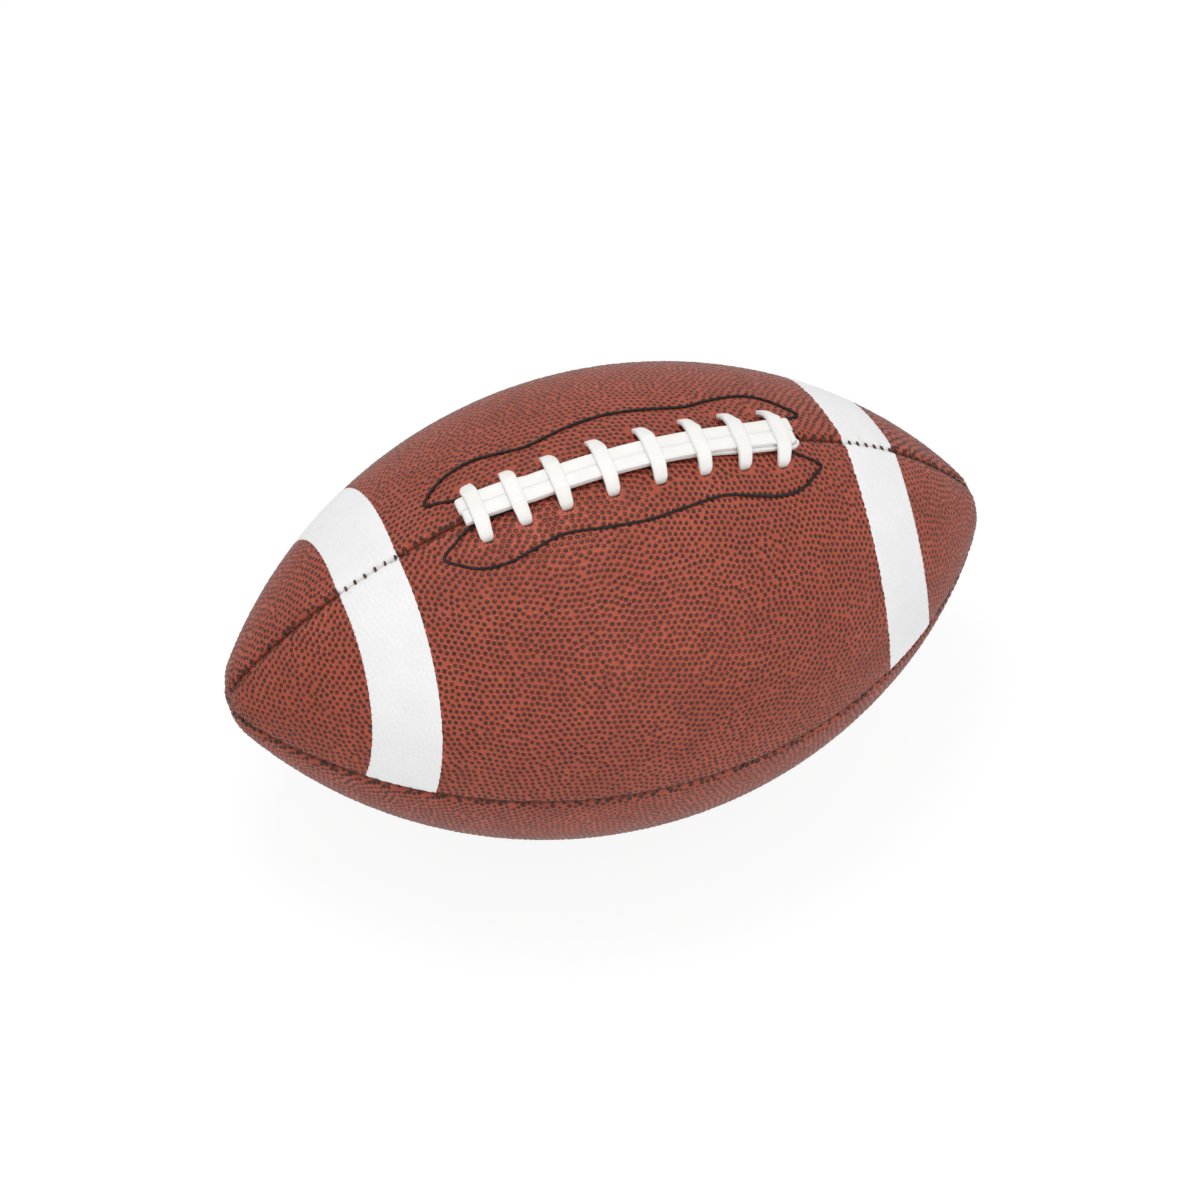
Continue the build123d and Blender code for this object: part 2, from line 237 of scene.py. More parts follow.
# Cross bars of the lace: place along the ball, rear and front ends across from the slit, and how far each end
# leans to the right, in millimetres, and the twist near each end in degrees
lace_bars = [
    (-53.8, -11.6, 10.5, -1.0, -0.7, -5, 0),
    (-40.6, -10.6, 10.5, 0.3, 0.2, 14, 3),
    (-25.6, -10.6, 10.6, 0.2, 0.0, 14, 0),
    (-8.6, -11.2, 10.9, 0.0, 0.0, 14, 0),
    (8.9, -11.3, 11.0, 0.0, 0.0, 12, -3),
    (25.8, -11.3, 11.0, 0.2, 0.0, 14, 0),
    (41.2, -11.5, 11.0, 0.0, -0.2, 12, 0),
    (56.6, -11.6, 11.2, 0.0, -0.6, 10, -6),
]

# Middle line of a cross bar, from each end up: share of the way from its flat top to that end, and height.
# The heights, half the flat top's length and the step along the line are in millimetres.
bar_lines = {
    "rear": [(0.92, -2.6), (0.96, -0.8), (0.97, 0.6), (0.85, 1.8), (0.45, 3.3), (0.1, 4.45), (0.0, 4.68)],
    "front": [(1.0, -2.6), (0.99, -0.9), (0.92, 0.6), (0.72, 2.0), (0.4, 3.5), (0.06, 4.5), (0.0, 4.7)],
}
bar_top = 4.72
bar_flat_reach = 4.6
bar_step = 0.4
bar_bend_span = (4 * mm, 11.5 * mm)
bar_leg_span = (-0.5 * mm, 1.5 * mm)
rear_taper = 0.5
rear_taper_start = 0.62
front_taper = 0.1
front_taper_span = (0.45, 0.9)
front_end_taper = 0.2
front_end_start = 0.9

# Floor and light. A lamp has a size, a power in watts and a place.
floor_reach = 6.0
floor_glow = 0.85
floor_glow_strength = 1.04
world_level = 0.7
lamps = {
    "overhead": (0.42, 6.5, (-0.22, 0.19, 1.5)),
    "front_fill": (1.4, 6.8, (0.2, -1.6, 1.0)),
}
lamp_aim = (0, 0, 0.08)

# Camera at the photograph's view, from a fit to the ball's outline. The picture's size, centre and focal
# length are in pixels, the sensor's width in millimetres.
view_azimuth = math.radians(-26.813)
view_elevation = math.radians(54.487)
view_roll = math.radians(7.430)
view_distance = 1621.0 * mm
photo_size = 1200
photo_centre = (607.80, 599.62)
focal_pixels = 4465.4
sensor_width = 36


# Places on the ball


def meridian(arc):
    """Axial place, distance from the long axis and outward direction at an arc length from the middle."""
    reach = np.abs(arc)
    on_tip = reach > belly_arc
    turn = np.where(on_tip, belly_turn + (reach - belly_arc) / tip_radius, reach / belly_radius)
    axial = np.where(on_tip, tip_centre + tip_radius * np.sin(turn), belly_radius * np.sin(turn))
    radius = np.where(on_tip, tip_radius * np.cos(turn), belly_centre + belly_radius * np.cos(turn))
    return np.sign(arc) * axial, radius, np.sign(arc) * np.sin(turn), np.cos(turn)


def radius_at(arc):
    """Distance from the long axis at an arc length."""
    return meridian(arc)[1]


def arc_of(axial):
    """Arc length from the middle to an axial place on the belly arc."""
    return belly_radius * np.arcsin(axial / belly_radius)


def place(arc, angle, height):
    """Points above the surface, from arc length, angle from the laces towards the front, and height."""
    axial, radius, out_axial, out_radial = meridian(arc)
    radial = radius + out_radial * height
    up = ball_radius + radial * np.cos(angle)
    return np.stack([axial + out_axial * height, -radial * np.sin(angle), up], axis=-1)


def outward(arc, angle):
    """Direction straight out of the surface."""
    _, _, out_axial, out_radial = meridian(arc)
    return np.stack([out_axial, -out_radial * np.sin(angle), out_radial * np.cos(angle)], axis=-1)


def smooth_step(low, high, value):
    share = np.clip((value - low) / (high - low), 0, 1)
    return share * share * (3 - 2 * share)


def curve_through(points, closed, step):
    """Points at an even step along a Catmull-Rom curve through given points."""
    points = np.asarray(points, float)
    if closed:
        padded = np.vstack([points[-1:], points, points[:2]])
    else:
        padded = np.vstack([2 * points[:1] - points[1:2], points, 2 * points[-1:] - points[-2:-1]])
    share = np.linspace(0, 1, curve_points, endpoint=False)[:, None]
    spans = []
    for before, start, end, after in zip(padded, padded[1:], padded[2:], padded[3:]):
        square = 2 * before - 5 * start + 4 * end - after
        cube = 3 * start - before - 3 * end + after
        spans.append(0.5 * (2 * start + (end - before) * share + square * share**2 + cube * share**3))
    line = np.vstack(spans + [points[:1] if closed else points[-1:]])
    length = np.hstack([[0], np.cumsum(np.linalg.norm(np.diff(line, axis=0), axis=1))])
    even = np.linspace(0, length[-1], max(int(length[-1] / step), 2) + 1)
    return np.stack([np.interp(even, length, line[:, axis]) for axis in range(line.shape[1])], axis=1)


# Pieces


def add_object(name, data):
    thing = bpy.data.objects.new(name, data)
    bpy.context.scene.collection.objects.link(thing)
    return thing


def new_piece(node, ending, points, faces, material):
    """A smooth mesh piece that rides on the ball and stands for a CAD node."""
    mesh = bpy.data.meshes.new(node + ending)
    mesh.from_pydata(points.tolist(), [], faces)
    mesh.validate()
    mesh.materials.append(material)
    mesh.polygons.foreach_set("use_smooth", np.full(len(mesh.polygons), True))
    piece = add_object(node + ending, mesh)
    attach(piece, "ball")
    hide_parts(node)
    return piece


def add_values(piece, name, values):
    """A number for each vertex, which the material reads."""
    layer = piece.data.attributes.new(name, "FLOAT", "POINT")
    layer.data.foreach_set("value", np.asarray(values, np.float32))


# Materials


def feed(tree, socket, value):
    """Links another node's output to a socket, or sets the socket to a plain value."""
    if isinstance(value, bpy.types.NodeSocket):
        tree.links.new(value, socket)
    else:
        socket.default_value = value


def add_node(tree, kind, inputs, **settings):
    node = tree.nodes.new("ShaderNode" + kind)
    for name, value in settings.items():
        setattr(node, name, value)
    for socket, value in inputs.items():
        feed(tree, node.inputs[socket], value)
    return node


def dress(tree, **sockets):
    """Feeds the surface shader, whose sockets are named with underscores for spaces."""
    for name, value in sockets.items():
        feed(tree, tree.nodes["Principled BSDF"].inputs[name.replace("_", " ")], value)


def new_material(name, colour, **sockets):
    material = bpy.data.materials.new(name)
    material.use_nodes = True
    dress(material.node_tree, Base_Color=(*colour, 1), **sockets)
    return material, material.node_tree


def position(tree):
    return add_node(tree, "NewGeometry", {}).outputs["Position"]


def attribute(tree, name, output="Fac"):
    return add_node(tree, "Attribute", {}, attribute_name=name).outputs[output]


def noise(tree, scale, detail):
    inputs = {"Vector": position(tree), "Scale": scale, "Detail": detail}
    return add_node(tree, "TexNoise", inputs).outputs["Fac"]


def ramp(tree, value, stops):
    """Colour ramp through (place, colour) stops."""
    node = add_node(tree, "ValToRGB", {"Fac": value})
    for element, (spot, colour) in zip(node.color_ramp.elements, stops):
        element.position = spot
        element.color = (*colour, 1)
    return node.outputs["Color"]


def map_range(tree, value, span, results):
    """Smooth change from the first to the second result as the value crosses a span."""
    inputs = dict(zip(("From Min", "From Max", "To Min", "To Max"), (*span, *results)), Value=value)
    return add_node(tree, "MapRange", inputs, interpolation_type="SMOOTHSTEP").outputs["Result"]


def calculate(tree, operation, *values):
    return add_node(tree, "Math", dict(enumerate(values)), operation=operation).outputs[0]


def blend(tree, factor, first, second):
    return add_node(tree, "Mix", {"Factor": factor, 6: first, 7: second}, data_type="RGBA").outputs[2]


def bump(tree, height, distance, strength):
    inputs = {"Strength": strength, "Distance": distance, "Height": height}
    return add_node(tree, "Bump", inputs).outputs["Normal"]


def leather_material():
    """Rust brown composite leather with dark, shinier pebble tops, and painted shade in the seam grooves and
    at the stitch puckers.
    """
    rust = [(0.3, (0.345, 0.060, 0.029)), (0.7, (0.415, 0.078, 0.040))]
    dark_tops = [(0.0, (0.047, 0.009, 0.004)), (1.0, (0.094, 0.018, 0.008))]
    painted_groove_shade = (0.035, 0.007, 0.004, 1)
    unevenness = 0.3
    roughening = 0.2
    material, tree = new_material("pebbled_leather", (0.34, 0.075, 0.042), Specular_IOR_Level=0.33)
    pebble = attribute(tree, "pebble_place", "Vector")
    flat = add_node(tree, "VectorMath", {0: pebble, 1: (1, 1, 0)}, operation="MULTIPLY").outputs[0]
    distance = add_node(tree, "VectorMath", {0: flat}, operation="LENGTH").outputs["Value"]
    tone = add_node(tree, "SeparateXYZ", {0: pebble}).outputs["Z"]

    uneven = calculate(tree, "MULTIPLY_ADD", noise(tree, scale=900, detail=2), unevenness, distance)
    is_top = map_range(tree, uneven, span=(1.02, 1.28), results=(1, 0))
    ground = ramp(tree, noise(tree, scale=60, detail=4), rust)
    colour = blend(tree, is_top, ground, ramp(tree, tone, dark_tops))
    # Painted shade: the leather is blended towards a dark brown in the seam grooves and at the stitch puckers
    groove_shade_share = map_range(tree, attribute(tree, "groove_and_shade"), span=(0.35, 1), results=(0, 0.5))
    colour = blend(tree, groove_shade_share, colour, painted_groove_shade)
    roughness = map_range(tree, is_top, span=(0, 1), results=(0.38, 0.29))

    dome = map_range(tree, distance, span=(0.95, 1.65), results=(1, 0))
    relief = calculate(tree, "MULTIPLY_ADD", noise(tree, scale=2600, detail=3), roughening, dome)
    grain = bump(tree, relief, distance=0.17 * mm, strength=0.7)
    dress(tree, Base_Color=colour, Roughness=roughness, Normal=grain)
    return material


def stripe_material():
    """White coating with a fine grain."""
    whites = [(0.3, (0.82, 0.82, 0.825)), (0.7, (0.86, 0.86, 0.86))]
    material, tree = new_material("white_stripe", (0.80, 0.80, 0.80), Roughness=0.5)
    colour = ramp(tree, noise(tree, scale=90, detail=3), whites)
    grain = bump(tree, noise(tree, scale=2200, detail=2), distance=0.03 * mm, strength=0.5)
    dress(tree, Base_Color=colour, Normal=grain)
    return material


def lace_material():
    """Off-white vinyl with fine ribs along the lace."""
    whites = [(0.3, (0.83, 0.82, 0.79)), (0.7, (0.88, 0.87, 0.845))]
    rib_rate = 42
    material, tree = new_material("white_lace", (0.86, 0.85, 0.82), Roughness=0.45)
    colour = ramp(tree, noise(tree, scale=120, detail=3), whites)
    ribs = calculate(tree, "SINE", calculate(tree, "MULTIPLY", attribute(tree, "across"), rib_rate))
    dress(tree, Base_Color=colour, Normal=bump(tree, ribs, distance=0.03 * mm, strength=0.5))
    return material


def thread_material(name, dark, light):
    """Waxed thread, uneven in tone and surface."""
    material, tree = new_material(name, dark, Roughness=0.75, Specular_IOR_Level=0.2)
    colour = ramp(tree, noise(tree, scale=900, detail=2), [(0.35, dark), (0.75, light)])
    strands = bump(tree, noise(tree, scale=2400, detail=2), distance=0.08 * mm, strength=0.8)
    dress(tree, Base_Color=colour, Normal=strands)
    return material


def woven_material(name, dark, light, thread_scale):
    """Plain woven cloth."""
    material, tree = new_material(name, light, Roughness=0.85)
    weave = add_node(tree, "TexChecker", {"Vector": position(tree), "Scale": thread_scale}).outputs["Fac"]
    threads = blend(tree, weave, (*dark, 1), (*light, 1))
    colour = blend(tree, noise(tree, scale=140, detail=3), threads, (*light, 1))
    dress(tree, Base_Color=colour, Normal=bump(tree, weave, distance=0.1 * mm, strength=0.6))
    return material


def mottled_material(name, dark, light, roughness):
    """Rubber or split leather with faint mottling."""
    material, tree = new_material(name, dark, Roughness=roughness)
    mottling = noise(tree, scale=70, detail=4)
    colour = ramp(tree, mottling, [(0.35, dark), (0.8, light)])
    sheen = map_range(tree, mottling, span=(0, 1), results=(roughness - 0.08, roughness + 0.12))
    grain = bump(tree, noise(tree, scale=1500, detail=3), distance=0.03 * mm, strength=0.5)
    dress(tree, Base_Color=colour, Roughness=sheen, Normal=grain)
    return material


# Cover panels. A panel's flat pattern has arc length along the ball and distance across from the panel's
# middle, and swing is the angle round the ball from that middle. The stitch outlines have arc length and
# distance round the ball from the slit.

outlines = {}
for side, points in outline_points.items():
    line = curve_through(np.asarray(points) * mm, True, outline_step)
    outlines[side] = np.stack([arc_of(line[:, 0]), line[:, 1]], axis=1)


def search_tree(points):
    tree = KDTree(len(points))
    for index, spot in enumerate(points):
        tree.insert((*spot, 0), index)
    tree.balance()
    return tree


def distance_to_outline(arc, across):
    """Distance on the surface from the nearer stitch outline."""
    tree = search_tree(np.vstack([line[::2] for line in outlines.values()]))
    return np.asarray([tree.find((*spot, 0))[2] for spot in zip(arc, across)])


def panel_holes(name):
    """Holes of one panel, as slots in its flat pattern: place, half length of the straight, radius."""
    if name == valve_panel:
        return [(0.0, 0.0, 0.0, valve_hole_radius)]
    holes = []
    if name in panel_sides:
        side = panel_sides[name]
        for axial, rear, front, rear_lean, front_lean, _, _ in lace_bars:
            end, lean = (front, front_lean) if side == 1 else (rear, rear_lean)
            arc = arc_of((axial + lean) * mm)
            across = (end + hole_beyond_bar * side) * mm - side * half_panel * radius_at(arc)
            holes.append((arc, across, (hole_length - hole_width) / 2, hole_width / 2))
    return holes


def slot_distance(points, hole):
    """Signed distance of flat points from a slot's rim, negative inside."""
    arc, across, straight, radius = hole
    along = np.maximum(np.abs(points[:, 0] - arc) - straight, 0)
    return np.hypot(along, points[:, 1] - across) - radius


def slot_ring(hole, offset):
    """Points round a slot at an offset from its rim, an even step apart."""
    arc, across, straight, radius = hole
    reach = radius + offset
    count = max(int((4 * straight + 2 * math.pi * radius) / rim_ring_step), least_ring_points)
    half_way = 2 * straight + math.pi * reach
    points = []
    for index in range(count):
        walk = (index + 0.5) / count * 2 * half_way
        side = 1 if walk < half_way else -1
        walk %= half_way
        turn = side * math.pi / 2 - max(walk - 2 * straight, 0) / reach
        along = arc + side * (min(walk, 2 * straight) - straight) + reach * math.cos(turn)
        points.append((along, across + reach * math.sin(turn)))
    return points


def spread_apart(points):
    """Points moved away from the neighbours that are nearer than a pitch."""
    tree = search_tree(points)
    near = []
    for spot in points:
        found = tree.find_n((*spot, 0), settling_neighbours + 1)
        near.append([index for _, index, _ in found[1:]])
    away = points[:, None] - points[np.array(near)]
    gap = np.linalg.norm(away, axis=2)
    push = np.clip(pebble_pitch - gap, 0, None) / gap
    return points + settling_share * (away * push[..., None]).sum(axis=1)


def pebble_centres(rng, holes):
    """Pebble places on a panel's flat pattern: a hexagonal lattice with wavy rows and some disorder."""
    reach = half_arc + lattice_margin
    row_step = pebble_pitch * math.sqrt(3) / 2
    count = int(2 * reach / pebble_pitch) + spare_rows
    column, row = np.meshgrid(np.arange(-count, count), np.arange(-count, count))
    along_row = ((column + 0.5 * (row % 2)) * pebble_pitch).ravel()
    off_row = (row * row_step).ravel()
    arc = along_row * math.cos(row_turn) - off_row * math.sin(row_turn)
    across = along_row * math.sin(row_turn) + off_row * math.cos(row_turn)
    keep = (np.abs(arc) < reach) & (np.abs(across) < ball_radius)
    arc, across = arc[keep], across[keep]
    for _ in range(row_waves):
        wave = rng.uniform(*wave_lengths) * mm
        heading = rng.uniform(0, 2 * math.pi)
        phase = (arc * math.cos(heading) + across * math.sin(heading)) * 2 * math.pi / wave
        slide = row_waviness * wave * np.sin(phase + rng.uniform(0, 2 * math.pi))
        arc = arc - slide * math.sin(heading)
        across = across + slide * math.cos(heading)
    arc = arc + rng.normal(0, pebble_jitter, len(arc))
    across = across + rng.normal(0, pebble_jitter, len(across))
    points = np.stack([arc, across], axis=1)
    for _ in range(settling_steps):
        points = spread_apart(points)
    arc, across = points.T
    edge = radius_at(np.clip(arc, -half_arc, half_arc)) * half_panel
    clear_of_tips = np.abs(arc) < half_arc - pebble_tip_margin
    points = points[clear_of_tips & (np.abs(across) < edge - pebble_seam_margin)]
    for hole in holes:
        points = points[slot_distance(points, hole) > pebble_hole_margin]
    return points


def cell_centres(rng, holes):
    """Pebble places and rings at the rims of the holes; which are pebbles, and which lie in a hole."""
    pebbles = pebble_centres(rng, holes)
    rims = [slot_ring(hole, offset) for hole in holes for offset in rim_ring_offsets]
    points = np.vstack([pebbles] + rims)
    is_pebble = np.arange(len(points)) < len(pebbles)
    in_hole = np.zeros(len(points), bool)
    for hole in holes:
        in_hole |= slot_distance(points, hole) < 0
    return points, is_pebble, in_hole


def mirrored(points):
    """Points near a seam, reflected across it so that cells end on the seam, and the side of each."""
    arc, across = points.T
    step = 0.1 * mm
    slope = (radius_at(arc + step) - radius_at(arc - step)) / (2 * step) * half_panel
    steepness = np.sqrt(1 + slope**2)
    images, sides = [], []
    for side in (-1, 1):
        gap = (radius_at(arc) * half_panel - side * across) / steepness
        near = gap < mirror_reach
        way = np.stack([-slope, side * np.ones_like(slope)], axis=1) / steepness[:, None]
        images.append((points + 2 * gap[:, None] * way)[near])
        sides.append(np.full(near.sum(), side))
    return np.vstack(images), np.hstack(sides)


def circle_middles(first, second, third):
    """Middles of the circles through the three corners of each triangle."""
    to_first = first - third
    to_second = second - third
    area = 2 * (to_first[:, 0] * to_second[:, 1] - to_second[:, 0] * to_first[:, 1])
    area = np.where(np.abs(area) < least_area, least_area, area)
    first_square = (first**2).sum(1) - (third**2).sum(1)
    second_square = (second**2).sum(1) - (third**2).sum(1)
    along = (first_square * to_second[:, 1] - second_square * to_first[:, 1]) / area
    across = (second_square * to_first[:, 0] - first_square * to_second[:, 0]) / area
    return np.stack([along, across], axis=1)


def flat_cells(points):
    """Voronoi cells of a panel's points: corner places, the seams of each corner, and each cell's corners."""
    images, image_sides = mirrored(points)
    everything = np.vstack([points, images]) / mm
    side = np.hstack([np.zeros(len(points), int), image_sides])
    made = delaunay_2d_cdt([Vector(spot) for spot in everything], [], [], 0, merge_distance)
    spots = np.asarray([tuple(spot) for spot in made[0]])
    source = np.asarray([merged[0] for merged in made[3]])
    side = side[source]
    triangles = np.asarray(made[2])
    low, high = side[triangles].min(axis=1), side[triangles].max(axis=1)
    held = (side[triangles] == 0).sum(axis=1)
    keep = (held > 1) | ((held == 1) & (low < 0) & (high > 0))
    triangles = triangles[keep]
    corners = circle_middles(*(spots[triangles[:, index]] for index in range(3)))
    cell = triangles.ravel()
    corner = np.repeat(np.arange(len(triangles)), 3)
    held = side[cell] == 0
    cell, corner = cell[held], corner[held]
    heading = np.arctan2(corners[corner, 1] - spots[cell, 1], corners[corner, 0] - spots[cell, 0])
    order = np.lexsort((heading, cell))
    return corners * mm, (low[keep], high[keep]), source[cell[order]], corner[order]


def corner_places(corners, seam_low, seam_high):
    """Arc length and swing of cell corners, those on a seam or at a tip moved to the panel's cut edge."""
    limit = half_arc - tip_hole
    arc = np.clip(corners[:, 0], -limit, limit)
    at_tip = (seam_low < 0) & (seam_high > 0)
    arc = np.where(at_tip, np.sign(arc) * limit, arc)
    edge = half_panel - seam_gap / 2 / np.maximum(radius_at(arc), seam_gap)
    swing = np.clip(corners[:, 1] / radius_at(arc), -edge, edge)
    swing = np.where(seam_low < 0, -edge, np.where(seam_high > 0, edge, swing))
    return arc, np.where(at_tip, 0, swing)


def panel_base(name, arc, swing):
    """Height of the ground between pebbles, its share of painted shade from the seam groove and the stitch
    puckers, and the pebbles' share of height.
    """
    radius = radius_at(arc)
    gap = radius * (half_panel - np.abs(swing))
    groove_and_shade = np.clip(1 - gap / groove_width, 0, 1) ** 2
    pucker = 0.5 + 0.5 * np.cos(2 * math.pi * arc / stitch_pitch)
    near_seam = np.exp(-((gap / pucker_reach) ** 2))
    height = -pebble_height - groove_and_shade * groove_depth - pucker_depth * pucker * near_seam
    share = seam_climb + (1 - seam_climb) * smooth_step(*seam_climb_span, gap)
    # Painted shade at each stitch's pucker, added to the groove's profile, which the material turns into
    # darker leather
    shade = pucker_shade * pucker**3 * np.exp(-((gap / pucker_shade_reach) ** 2))
    groove_and_shade = np.clip(groove_and_shade + shade, 0, 1)
    if name in panel_sides:
        thread = distance_to_outline(arc, radius * (swing + half_panel * panel_sides[name]))
        sunk = 1 - smooth_step(*outline_bed_span, thread)
        height = height - outline_bed_depth * sunk
        share = share * (1 - outline_bed_flattening * sunk)
    return height, groove_and_shade, share


def cell_bands(following, solid, corner, shoulder, cap, middle):
    """What a cell's faces hold at their corners, in bands: edge to shoulder, to cap, to middle."""
    outer = [corner[following], corner, shoulder, shoulder[following]]
    inner = [shoulder[following], shoulder, cap, cap[following]]
    top = [cap[following], cap, middle]
    return [np.stack(band, axis=1)[solid] for band in (outer, inner, top)]


def panel_surface(name, seed):
    """Pebbled outer surface: arc length, swing, height, share of painted shade from the seam groove and
    stitch puckers, place on the pebble, and faces.

    The place on the pebble is given for each corner of a face, in units of the dark dot's radius, with the
    dot's tone. Ground that has no dot is given the place no_dot.
    """
    rng = np.random.default_rng(seed)
    points, is_pebble, in_hole = cell_centres(rng, panel_holes(name))
    corners, seams, cell, corner = flat_cells(points)
    corner_arc, corner_swing = corner_places(corners, *seams)
    centre_arc = points[:, 0]
    centre_swing = points[:, 1] / radius_at(centre_arc)

    size = rng.uniform(*pebble_sizes, len(points))
    rise = rng.uniform(*pebble_heights, len(points)) * pebble_height
    rise = np.where(is_pebble, rise, rim_climb * rise)
    tone = rng.uniform(0, 1, len(points))
    seam_distance = radius_at(centre_arc) * (half_panel - np.abs(centre_swing))
    beside_seam = 1 - smooth_step(*seam_dot_span, seam_distance)
    tone = tone * (1 - beside_seam)
    dot = dot_radius * size * (1 + seam_dot_growth * beside_seam)

    centre_radius = radius_at(centre_arc[cell])
    arc_way = corner_arc[corner] - centre_arc[cell]
    across_way = (corner_swing[corner] - centre_swing[cell]) * centre_radius
    corner_way = np.stack([arc_way, across_way], axis=1)
    reach = np.linalg.norm(corner_way, axis=1) + least_length

    ways, arcs, swings, climbs = [corner_way], [corner_arc], [corner_swing], [0 * corner_arc]
    for share, most, climb in pebble_rings:
        part = np.minimum(share * reach, most * size[cell]) / reach
        way = corner_way * part[:, None]
        ways.append(way)
        arcs.append(centre_arc[cell] + way[:, 0])
        swings.append(centre_swing[cell] + way[:, 1] / centre_radius)
        climbs.append(climb * rise[cell])
    ways.append(0 * corner_way)
    arc = np.hstack(arcs + [centre_arc])
    swing = np.hstack(swings + [centre_swing])
    ground, groove_and_shade, share = panel_base(name, arc, swing)
    height = ground + np.hstack(climbs + [rise]) * share

    count = len(cell)
    following = np.arange(count) + 1
    starts = np.flatnonzero(np.r_[True, cell[1:] != cell[:-1]])
    following[np.r_[starts[1:], count] - 1] = starts
    solid = ~in_hole[cell]
    shoulder = len(corner_arc) + np.arange(count)
    middle = len(corner_arc) + 2 * count + cell
    bands = cell_bands(following, solid, corner, shoulder, shoulder + count, middle)
    used = np.zeros(len(arc), bool)
    for band in bands:
        used[band] = True
    number = np.cumsum(used) - 1
    faces = [face for band in bands for face in number[band].tolist()]

    bare = np.where(is_pebble[cell], 0, no_dot)[:, None]
    dot_bands = cell_bands(following, solid, *(way / dot[cell][:, None] + bare for way in ways))
    pebble_place = np.vstack([band.reshape(-1, 2) for band in dot_bands])
    tones = np.hstack([np.repeat(tone[cell][solid], band.shape[1]) for band in dot_bands])
    pebble_place = np.hstack([pebble_place, tones[:, None]])
    return arc[used], swing[used], height[used], groove_and_shade[used], pebble_place, faces


def rim_edges(faces):
    """Edges that only one face has, each in the direction of its face."""
    seen = set()
    for face in faces:
        for start, end in zip(face, face[1:] + face[:1]):
            if (end, start) in seen:
                seen.remove((end, start))
            else:
                seen.add((start, end))
    return seen


def close_panel(holes, arc, swing, height, groove_and_shade, pebble_place, faces):
    """Adds the cut edges and the inner face, so that the panel is a closed shell with open holes."""
    rim = sorted(rim_edges(faces))
    place_in_rim = {start: index for index, (start, _) in enumerate(rim)}
    ring = [(index, place_in_rim[end]) for index, (_, end) in enumerate(rim)]
    loop = [start for start, _ in rim]
    shares = [np.linspace(-span, span, count) for span, count in zip(inner_spans, inner_counts)]
    grid_arc, grid_swing = np.meshgrid(shares[0] * half_arc, shares[1] * half_panel)
    grid = np.stack([grid_arc.ravel(), (grid_swing * radius_at(grid_arc)).ravel()], axis=1)
    for hole in holes:
        grid = grid[slot_distance(grid, hole) > inner_hole_margin]
    inner_arc = np.hstack([arc[loop], grid[:, 0]])
    inner_swing = np.hstack([swing[loop], grid[:, 1] / radius_at(grid[:, 0])])
    flat = np.stack([inner_arc, inner_swing * radius_at(inner_arc)], axis=1)
    made = delaunay_2d_cdt([Vector(spot) for spot in flat / mm], ring, [], 1, merge_distance)
    source = np.asarray([merged[0] for merged in made[3]])
    triangles = source[np.asarray(made[2])]
    middles = flat[triangles].mean(axis=1)
    for hole in holes:
        closed = slot_distance(middles, hole) >= -open_hole_depth
        triangles, middles = triangles[closed], middles[closed]
    first = len(arc)
    inner_faces = (triangles + first).tolist()
    walls = [[end, start, first + here, first + beyond] for (start, end), (here, beyond) in zip(rim, ring)]
    bare = np.full((4 * len(walls) + 3 * len(inner_faces), 3), no_dot)
    return (
        np.hstack([arc, inner_arc]),
        np.hstack([swing, inner_swing]),
        np.hstack([height, np.full(len(inner_arc), -cover_thickness)]),
        np.hstack([groove_and_shade, 0 * inner_arc]),
        np.vstack([pebble_place, bare]),
        faces + walls + inner_faces,
    )


def map_panel(piece, arc, swing, outer_corners):
    """Texture map: the flat pattern of the outer face, with the inner face and cut edges beside it."""
    vertex = np.zeros(len(piece.data.loops), int)
    piece.data.loops.foreach_get("vertex_index", vertex)
    flat = np.stack([arc, swing * radius_at(arc)], axis=1)[vertex] / map_length
    is_outer = (np.arange(len(vertex)) < outer_corners)[:, None]
    spots = np.where(is_outer, flat + outer_map_middle, flat * inner_map_scale + inner_map_middle)
    layer = piece.data.uv_layers.new(name="OFBake")
    layer.data.foreach_set("uv", spots.astype(np.float32).ravel())


def make_panel(name, seed, material):
    """A cover panel, whose outer surface is also given back for its stripes."""
    surface = panel_surface(name, seed)
    arc, swing, height, groove_and_shade, pebble_place, faces = close_panel(panel_holes(name), *surface)
    points = place(arc, math.radians(panel_angles[name]) + swing, height)
    piece = new_piece("panel_" + name, "_skin", points, faces, material)
    add_values(piece, "groove_and_shade", groove_and_shade)
    layer = piece.data.attributes.new("pebble_place", "FLOAT_VECTOR", "CORNER")
    layer.data.foreach_set("vector", pebble_place.astype(np.float32).ravel())
    map_panel(piece, arc, swing, outer_corners=len(surface[4]))
    return surface


# Stripes


def stripe_offset(name, end, swing):
    """How far a stripe's edges lie from their place towards the tip."""
    level, bow, lean = stripe_edges[name, end]
    share = swing / half_panel
    offset = level + bow * share**2 + lean * share
    for (height, rate), phase in zip(stripe_ripples, (level, bow)):
        offset = offset + height * np.sin(rate * share + phase)
    return offset * mm


def cut_stripe(along, swing, height, faces):
    """A panel's surface between a stripe's edges: along, swing and height of its points, and faces."""
    swing_scale = 100
    near = (along > stripe_near - stripe_margin) & (along < stripe_far + stripe_margin)
    flat = bmesh.new()
    made = {}
    for face in faces:
        if not near[face].all():
            continue
        for vertex in face:
            if vertex not in made:
                spot = (along[vertex] / mm, swing[vertex] * swing_scale, height[vertex] / mm)
                made[vertex] = flat.verts.new(spot)
        flat.faces.new([made[vertex] for vertex in face])
    for edge, towards in ((stripe_near, -1), (stripe_far, 1)):
        whole = flat.verts[:] + flat.edges[:] + flat.faces[:]
        cut = {"plane_co": (edge / mm, 0, 0), "plane_no": (towards, 0, 0), "clear_outer": True}
        bmesh.ops.bisect_plane(flat, geom=whole, dist=merge_distance, **cut)
    flat.verts.index_update()
    spots = np.asarray([tuple(vertex.co) for vertex in flat.verts])
    top = [[vertex.index for vertex in face.verts] for face in flat.faces]
    flat.free()
    return spots[:, 0] * mm, spots[:, 1] / swing_scale, spots[:, 2] * mm, top


